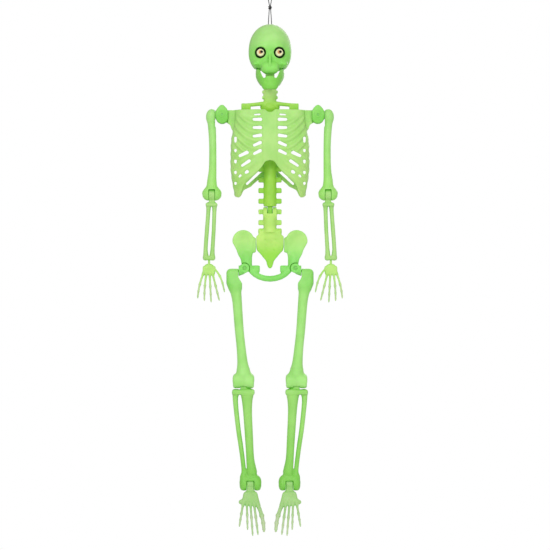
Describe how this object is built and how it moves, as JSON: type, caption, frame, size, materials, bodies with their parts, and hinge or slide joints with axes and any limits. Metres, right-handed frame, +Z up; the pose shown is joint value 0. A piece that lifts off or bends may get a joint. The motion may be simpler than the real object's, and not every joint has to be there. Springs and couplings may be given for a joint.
{
  "type": "hanging posable skeleton figure",
  "caption": "Hanging human skeleton figure in pale glow-green plastic, with a turning head, opening jaw, bending waist and posable arms, hands, legs and feet.",
  "frame": {"origin": "top of the hanging loop, where a hook bears", "axes": "+Z up, the face looks along -Y, the figure's left is +X"},
  "size_m": [0.2638, 0.0983, 0.9755],
  "materials": {
    "glow_plastic": "satin moulded plastic, pale glow green, slightly translucent",
    "pin_plastic": "plain moulded pins, dull green",
    "eye_white": "glossy painted eye, cream with a brown iris and a black pupil",
    "eye_black": "glossy near-black ring",
    "cord": "thin twisted black cord"
  },
  "bodies": {
    "skull": {"skull_front": "glow_plastic", "skull_back": "glow_plastic", "eye_left": "eye_white", "eye_right": "eye_white", "eye_rim_left": "eye_black", "eye_rim_right": "eye_black", "jaw_pins": "pin_plastic", "hanging_cord": "cord"},
    "jaw": {"mandible": "glow_plastic"},
    "torso": {"upper_spine": "glow_plastic", "rib_cage_front": "glow_plastic", "rib_cage_back": "glow_plastic", "neck_washer": "pin_plastic"},
    "hips": {"lumbar_spine": "glow_plastic", "pelvis": "glow_plastic", "waist_pin": "pin_plastic"},
    "shoulder_left": {"shoulder_knuckle_left": "glow_plastic", "shoulder_pin_left": "pin_plastic", "arm_pin_left": "pin_plastic"},
    "upper_arm_left": {"humerus_left": "glow_plastic", "elbow_pin_left": "pin_plastic"},
    "lower_arm_left": {"forearm_left": "glow_plastic"},
    "wrist_hand_left": {"hand_left": "glow_plastic"},
    "hip_left": {"hip_link_left": "glow_plastic", "hip_pin_left": "pin_plastic", "leg_pin_left": "pin_plastic"},
    "thigh_left": {"femur_left": "glow_plastic", "knee_pin_left": "pin_plastic"},
    "lower_leg_left": {"shin_left": "glow_plastic", "ankle_pin_left": "pin_plastic"},
    "ankle_foot_left": {"foot_left": "glow_plastic"},
    "shoulder_right": {"shoulder_knuckle_right": "glow_plastic", "shoulder_pin_right": "pin_plastic", "arm_pin_right": "pin_plastic"},
    "upper_arm_right": {"humerus_right": "glow_plastic", "elbow_pin_right": "pin_plastic"},
    "lower_arm_right": {"forearm_right": "glow_plastic"},
    "wrist_hand_right": {"hand_right": "glow_plastic"},
    "hip_right": {"hip_link_right": "glow_plastic", "hip_pin_right": "pin_plastic", "leg_pin_right": "pin_plastic"},
    "thigh_right": {"femur_right": "glow_plastic", "knee_pin_right": "pin_plastic"},
    "lower_leg_right": {"shin_right": "glow_plastic", "ankle_pin_right": "pin_plastic"},
    "ankle_foot_right": {"foot_right": "glow_plastic"}
  },
  "joints": [
    {"name": "jaw_hinge", "type": "hinge", "parent": "skull", "child": "jaw", "pos_m": [0, 0.002, -0.1371], "axis": [1, 0, 0], "range_deg": [0, 20]},
    {"name": "neck_turn", "type": "hinge", "parent": "skull", "child": "torso", "pos_m": [0, 0.008, -0.156], "axis": [0, 0, 1], "range_deg": [-60, 60]},
    {"name": "waist_bend", "type": "hinge", "parent": "torso", "child": "hips", "pos_m": [0, 0.008, -0.40998], "axis": [-1, 0, 0], "range_deg": [-15, 35]},
    {"name": "shoulder_raise_left", "type": "hinge", "parent": "torso", "child": "shoulder_left", "pos_m": [0.085, 0, -0.2352], "axis": [0, -1, 0], "range_deg": [0, 90]},
    {"name": "shoulder_swing_left", "type": "hinge", "parent": "shoulder_left", "child": "upper_arm_left", "pos_m": [0.101, 0, -0.2352], "axis": [1, 0, 0], "range_deg": [-150, 60]},
    {"name": "elbow_bend_left", "type": "hinge", "parent": "upper_arm_left", "child": "lower_arm_left", "pos_m": [0.103, 0, -0.37695], "axis": [-1, 0, 0], "range_deg": [0, 110]},
    {"name": "wrist_turn_left", "type": "hinge", "parent": "lower_arm_left", "child": "wrist_hand_left", "pos_m": [0.108, 0, -0.4989], "axis": [0, 0, 1], "range_deg": [-90, 90]},
    {"name": "hip_spread_left", "type": "hinge", "parent": "hips", "child": "hip_left", "pos_m": [0.045, 0, -0.507], "axis": [0, -1, 0], "range_deg": [0, 14]},
    {"name": "hip_swing_left", "type": "hinge", "parent": "hip_left", "child": "thigh_left", "pos_m": [0.06, 0, -0.512], "axis": [-1, 0, 0], "range_deg": [-25, 90]},
    {"name": "knee_bend_left", "type": "hinge", "parent": "thigh_left", "child": "lower_leg_left", "pos_m": [0.047, 0, -0.7077], "axis": [1, 0, 0], "range_deg": [0, 110]},
    {"name": "ankle_bend_left", "type": "hinge", "parent": "lower_leg_left", "child": "ankle_foot_left", "pos_m": [0.0346, 0, -0.88995], "axis": [-1, 0, 0], "range_deg": [-15, 55]},
    {"name": "shoulder_raise_right", "type": "hinge", "parent": "torso", "child": "shoulder_right", "pos_m": [-0.085, 0, -0.2352], "axis": [0, 1, 0], "range_deg": [0, 90]},
    {"name": "shoulder_swing_right", "type": "hinge", "parent": "shoulder_right", "child": "upper_arm_right", "pos_m": [-0.101, 0, -0.2352], "axis": [1, 0, 0], "range_deg": [-150, 60]},
    {"name": "elbow_bend_right", "type": "hinge", "parent": "upper_arm_right", "child": "lower_arm_right", "pos_m": [-0.103, 0, -0.37695], "axis": [-1, 0, 0], "range_deg": [0, 110]},
    {"name": "wrist_turn_right", "type": "hinge", "parent": "lower_arm_right", "child": "wrist_hand_right", "pos_m": [-0.108, 0, -0.4989], "axis": [0, 0, -1], "range_deg": [-90, 90]},
    {"name": "hip_spread_right", "type": "hinge", "parent": "hips", "child": "hip_right", "pos_m": [-0.045, 0, -0.507], "axis": [0, 1, 0], "range_deg": [0, 14]},
    {"name": "hip_swing_right", "type": "hinge", "parent": "hip_right", "child": "thigh_right", "pos_m": [-0.06, 0, -0.512], "axis": [-1, 0, 0], "range_deg": [-25, 90]},
    {"name": "knee_bend_right", "type": "hinge", "parent": "thigh_right", "child": "lower_leg_right", "pos_m": [-0.047, 0, -0.7077], "axis": [1, 0, 0], "range_deg": [0, 110]},
    {"name": "ankle_bend_right", "type": "hinge", "parent": "lower_leg_right", "child": "ankle_foot_right", "pos_m": [-0.0346, 0, -0.88995], "axis": [-1, 0, 0], "range_deg": [-15, 55]}
  ]
}
